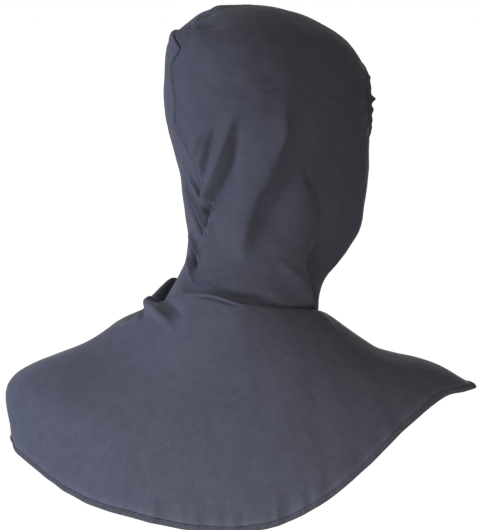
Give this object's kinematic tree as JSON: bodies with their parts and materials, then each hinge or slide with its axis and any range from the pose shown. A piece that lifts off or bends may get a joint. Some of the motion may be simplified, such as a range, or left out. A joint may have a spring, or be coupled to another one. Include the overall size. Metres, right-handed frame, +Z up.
{
  "type": "welding hood",
  "caption": "Knit cloth welding hood with a gathered oval eye opening and a shoulder cape, shaped as in use with the hood turned to its right.",
  "frame": {"origin": "inside of the crown, at the place where the hood is held up in use", "axes": "+Z up, -Y to the front of the cape, +X to the cape's left shoulder; the hood's eye opening looks 57 degrees to the right of the cape's front"},
  "size_m": [0.4563, 0.274, 0.493],
  "materials": {
    "hood_cloth": "matte brushed knit",
    "cape_cloth": "matte brushed knit",
    "trim_cloth": "matte turned and stitched knit"
  },
  "bodies": {
    "root": {"hood_right": "hood_cloth", "hood_left": "hood_cloth", "eye_band": "trim_cloth", "cape": "cape_cloth", "cape_hem": "trim_cloth"}
  },
  "joints": []
}
